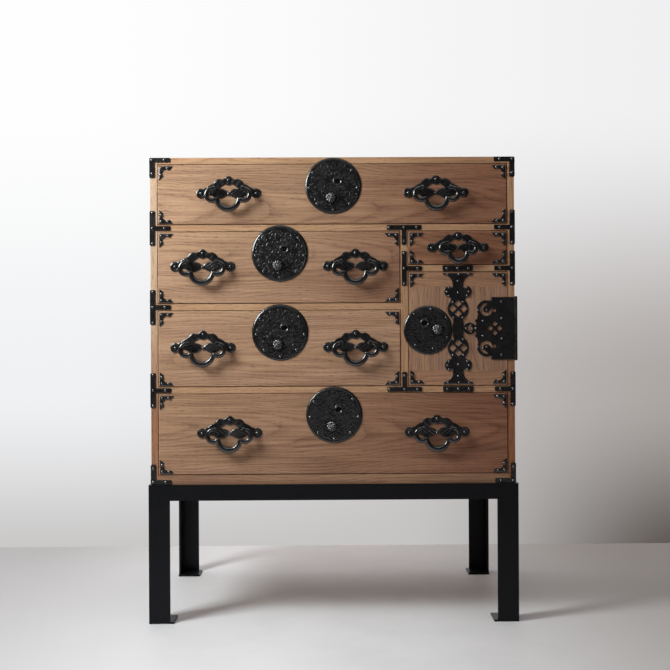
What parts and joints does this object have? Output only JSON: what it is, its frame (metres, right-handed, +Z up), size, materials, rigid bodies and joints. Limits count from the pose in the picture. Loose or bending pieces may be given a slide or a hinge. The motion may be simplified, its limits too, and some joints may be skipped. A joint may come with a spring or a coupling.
{
  "type": "tansu chest on a stand",
  "caption": "Low wooden storage chest of drawers with one hinged door, round lock plates, drop handles and pierced black ironwork, standing on a black angle-steel stand.",
  "frame": {"origin": "middle of the whole chest's footprint, on the floor under the feet", "axes": "+Z up, the front faces -Y, +X to the right seen from the front"},
  "size_m": [0.702, 0.4238, 0.884],
  "materials": {
    "front_wood": "rubbed, low sheen, horizontal grain",
    "case_wood": "rubbed, low sheen, straight grain",
    "lining_wood": "bare planed softwood",
    "black_iron": "black lacquered, hammered",
    "handle_iron": "black lacquered, worn smooth",
    "stand_steel": "satin black"
  },
  "bodies": {
    "root": {"back_panel": "case_wood", "bottom_board": "case_wood", "case_irons": "black_iron", "door_shelf": "case_wood", "hinge_pin": "black_iron", "hinge_side_leaf": "black_iron", "left_side_board": "case_wood", "lower_shelf": "case_wood", "middle_shelf": "case_wood", "right_side_board": "case_wood", "stand_frame": "stand_steel", "stand_legs": "stand_steel", "top_board": "case_wood", "upper_shelf": "case_wood", "upright_divider": "case_wood"},
    "top_drawer": {"top_drawer_front": "front_wood", "top_drawer_box": "lining_wood", "top_drawer_irons": "black_iron", "top_drawer_lock": "black_iron"},
    "top_drawer_left_bail": {"top_drawer_left_bail": "handle_iron"},
    "top_drawer_right_bail": {"top_drawer_right_bail": "handle_iron"},
    "top_drawer_lock_button": {"top_drawer_lock_button": "black_iron"},
    "top_drawer_lock_bolt": {"top_drawer_lock_bolt": "black_iron"},
    "upper_left_drawer": {"upper_left_drawer_front": "front_wood", "upper_left_drawer_box": "lining_wood", "upper_left_drawer_irons": "black_iron", "upper_left_drawer_lock": "black_iron"},
    "upper_left_drawer_left_bail": {"upper_left_drawer_left_bail": "handle_iron"},
    "upper_left_drawer_right_bail": {"upper_left_drawer_right_bail": "handle_iron"},
    "upper_left_drawer_lock_button": {"upper_left_drawer_lock_button": "black_iron"},
    "upper_left_drawer_lock_bolt": {"upper_left_drawer_lock_bolt": "black_iron"},
    "lower_left_drawer": {"lower_left_drawer_front": "front_wood", "lower_left_drawer_box": "lining_wood", "lower_left_drawer_irons": "black_iron", "lower_left_drawer_lock": "black_iron"},
    "lower_left_drawer_left_bail": {"lower_left_drawer_left_bail": "handle_iron"},
    "lower_left_drawer_right_bail": {"lower_left_drawer_right_bail": "handle_iron"},
    "lower_left_drawer_lock_button": {"lower_left_drawer_lock_button": "black_iron"},
    "lower_left_drawer_lock_bolt": {"lower_left_drawer_lock_bolt": "black_iron"},
    "bottom_drawer": {"bottom_drawer_front": "front_wood", "bottom_drawer_box": "lining_wood", "bottom_drawer_irons": "black_iron", "bottom_drawer_lock": "black_iron"},
    "bottom_drawer_left_bail": {"bottom_drawer_left_bail": "handle_iron"},
    "bottom_drawer_right_bail": {"bottom_drawer_right_bail": "handle_iron"},
    "bottom_drawer_lock_button": {"bottom_drawer_lock_button": "black_iron"},
    "bottom_drawer_lock_bolt": {"bottom_drawer_lock_bolt": "black_iron"},
    "small_drawer": {"small_drawer_front": "front_wood", "small_drawer_box": "lining_wood", "small_drawer_irons": "black_iron"},
    "small_drawer_bail": {"small_drawer_bail": "handle_iron"},
    "door": {"door_panel": "front_wood", "door_end_rails": "front_wood", "door_irons": "black_iron", "door_hinge_leaf": "black_iron", "door_lock": "black_iron"},
    "door_lock_button": {"door_lock_button": "black_iron"},
    "door_lock_bolt": {"door_lock_bolt": "black_iron"}
  },
  "joints": [
    {"name": "top_drawer_slide", "type": "slide", "parent": "root", "child": "top_drawer", "axis": [0, -1, 0], "range_m": [0, 0.3]},
    {"name": "top_drawer_left_bail_swing", "type": "hinge", "parent": "top_drawer", "child": "top_drawer_left_bail", "pos_m": [-0.197, -0.20725, 0.824], "axis": [-1, 0, 0], "range_deg": [-8, 175]},
    {"name": "top_drawer_right_bail_swing", "type": "hinge", "parent": "top_drawer", "child": "top_drawer_right_bail", "pos_m": [0.197, -0.20725, 0.824], "axis": [-1, 0, 0], "range_deg": [-8, 175]},
    {"name": "top_drawer_lock_press", "type": "slide", "parent": "top_drawer", "child": "top_drawer_lock_button", "axis": [0, 1, 0], "range_m": [0, 0.003]},
    {"name": "top_drawer_lock_throw", "type": "slide", "parent": "top_drawer", "child": "top_drawer_lock_bolt", "axis": [0, 0, 1], "range_m": [0, 0.006]},
    {"name": "upper_left_drawer_slide", "type": "slide", "parent": "root", "child": "upper_left_drawer", "axis": [0, -1, 0], "range_m": [0, 0.3]},
    {"name": "upper_left_drawer_left_bail_swing", "type": "hinge", "parent": "upper_left_drawer", "child": "upper_left_drawer_left_bail", "pos_m": [-0.247, -0.20725, 0.685], "axis": [-1, 0, 0], "range_deg": [-8, 175]},
    {"name": "upper_left_drawer_right_bail_swing", "type": "hinge", "parent": "upper_left_drawer", "child": "upper_left_drawer_right_bail", "pos_m": [0.043, -0.20725, 0.685], "axis": [-1, 0, 0], "range_deg": [-8, 175]},
    {"name": "upper_left_drawer_lock_press", "type": "slide", "parent": "upper_left_drawer", "child": "upper_left_drawer_lock_button", "axis": [0, 1, 0], "range_m": [0, 0.003]},
    {"name": "upper_left_drawer_lock_throw", "type": "slide", "parent": "upper_left_drawer", "child": "upper_left_drawer_lock_bolt", "axis": [0, 0, 1], "range_m": [0, 0.006]},
    {"name": "lower_left_drawer_slide", "type": "slide", "parent": "root", "child": "lower_left_drawer", "axis": [0, -1, 0], "range_m": [0, 0.3]},
    {"name": "lower_left_drawer_left_bail_swing", "type": "hinge", "parent": "lower_left_drawer", "child": "lower_left_drawer_left_bail", "pos_m": [-0.247, -0.20725, 0.531], "axis": [-1, 0, 0], "range_deg": [-8, 175]},
    {"name": "lower_left_drawer_right_bail_swing", "type": "hinge", "parent": "lower_left_drawer", "child": "lower_left_drawer_right_bail", "pos_m": [0.043, -0.20725, 0.531], "axis": [-1, 0, 0], "range_deg": [-8, 175]},
    {"name": "lower_left_drawer_lock_press", "type": "slide", "parent": "lower_left_drawer", "child": "lower_left_drawer_lock_button", "axis": [0, 1, 0], "range_m": [0, 0.003]},
    {"name": "lower_left_drawer_lock_throw", "type": "slide", "parent": "lower_left_drawer", "child": "lower_left_drawer_lock_bolt", "axis": [0, 0, 1], "range_m": [0, 0.006]},
    {"name": "bottom_drawer_slide", "type": "slide", "parent": "root", "child": "bottom_drawer", "axis": [0, -1, 0], "range_m": [0, 0.3]},
    {"name": "bottom_drawer_left_bail_swing", "type": "hinge", "parent": "bottom_drawer", "child": "bottom_drawer_left_bail", "pos_m": [-0.197, -0.20725, 0.3685], "axis": [-1, 0, 0], "range_deg": [-8, 175]},
    {"name": "bottom_drawer_right_bail_swing", "type": "hinge", "parent": "bottom_drawer", "child": "bottom_drawer_right_bail", "pos_m": [0.197, -0.20725, 0.3685], "axis": [-1, 0, 0], "range_deg": [-8, 175]},
    {"name": "bottom_drawer_lock_press", "type": "slide", "parent": "bottom_drawer", "child": "bottom_drawer_lock_button", "axis": [0, 1, 0], "range_m": [0, 0.003]},
    {"name": "bottom_drawer_lock_throw", "type": "slide", "parent": "bottom_drawer", "child": "bottom_drawer_lock_bolt", "axis": [0, 0, 1], "range_m": [0, 0.006]},
    {"name": "small_drawer_slide", "type": "slide", "parent": "root", "child": "small_drawer", "axis": [0, -1, 0], "range_m": [0, 0.3]},
    {"name": "small_drawer_bail_swing", "type": "hinge", "parent": "small_drawer", "child": "small_drawer_bail", "pos_m": [0.238, -0.20725, 0.719], "axis": [-1, 0, 0], "range_deg": [-8, 175]},
    {"name": "door_swing", "type": "hinge", "parent": "root", "child": "door", "pos_m": [0.348, -0.19585, 0.55715], "axis": [0, 0, 1], "range_deg": [0, 170]},
    {"name": "door_lock_press", "type": "slide", "parent": "door", "child": "door_lock_button", "axis": [0, 1, 0], "range_m": [0, 0.003]},
    {"name": "door_lock_throw", "type": "slide", "parent": "door", "child": "door_lock_bolt", "axis": [-1, 0, 0], "range_m": [0, 0.012]}
  ],
  "couplings": [
    {"joint": "top_drawer_lock_throw", "follows": "top_drawer_lock_press", "ratio": 2},
    {"joint": "upper_left_drawer_lock_throw", "follows": "upper_left_drawer_lock_press", "ratio": 2},
    {"joint": "lower_left_drawer_lock_throw", "follows": "lower_left_drawer_lock_press", "ratio": 2},
    {"joint": "bottom_drawer_lock_throw", "follows": "bottom_drawer_lock_press", "ratio": 2},
    {"joint": "door_lock_throw", "follows": "door_lock_press", "ratio": 4}
  ]
}
